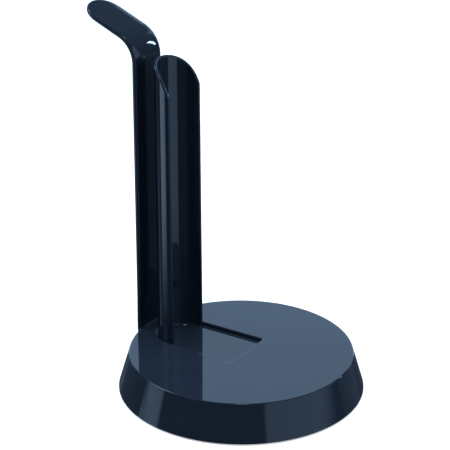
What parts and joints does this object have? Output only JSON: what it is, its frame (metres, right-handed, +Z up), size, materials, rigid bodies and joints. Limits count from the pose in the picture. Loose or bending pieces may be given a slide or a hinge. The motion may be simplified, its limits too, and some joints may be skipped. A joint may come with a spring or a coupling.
{
  "type": "paper towel holder",
  "caption": "Countertop paper towel holder: weighted round base, half-tube core post on a sprung slide, and a tall flat arm with a rounded head that keeps the roll from unwinding.",
  "frame": {"origin": "middle of the underside of the non-slip pad, on the worktop", "axes": "+Z up; +X from the arm through the middle of the base, the way the post slides; +Y across"},
  "size_m": [0.2135, 0.175, 0.264],
  "materials": {
    "gloss_shell": "gloss",
    "matte_inner": "satin",
    "pad_rubber": "matte",
    "rod_steel": "polished",
    "ballast_steel": "matte",
    "screw_steel": "satin",
    "spring_steel": "satin",
    "bush_bronze": "satin"
  },
  "bodies": {
    "base": {"base_shell": "gloss_shell", "bottom_cover": "matte_inner", "non_slip_pad": "pad_rubber", "ballast_plate": "ballast_steel", "tension_arm": "gloss_shell", "guide_rod_near": "rod_steel", "guide_rod_far": "rod_steel", "rod_cap_near_rear": "matte_inner", "rod_cap_near_front": "matte_inner", "rod_cap_far_rear": "matte_inner", "rod_cap_far_front": "matte_inner", "bumper_near": "pad_rubber", "bumper_far": "pad_rubber", "return_spring_near": "spring_steel", "return_spring_far": "spring_steel", "cover_screws": "screw_steel", "arm_screws": "screw_steel", "rod_cap_screws": "screw_steel"},
    "slider": {"core_post": "gloss_shell", "slide_plate": "gloss_shell", "carriage": "matte_inner", "bush_near_rear": "bush_bronze", "bush_near_front": "bush_bronze", "bush_far_rear": "bush_bronze", "bush_far_front": "bush_bronze", "post_screws": "screw_steel", "plate_screws": "screw_steel"}
  },
  "joints": [
    {"name": "post_slide", "type": "slide", "parent": "base", "child": "slider", "axis": [1, 0, 0], "range_m": [0, 0.045], "stiffness_N_per_m": 60, "springref_m": -0.02, "deforming": ["return_spring_near", "return_spring_far"]}
  ]
}
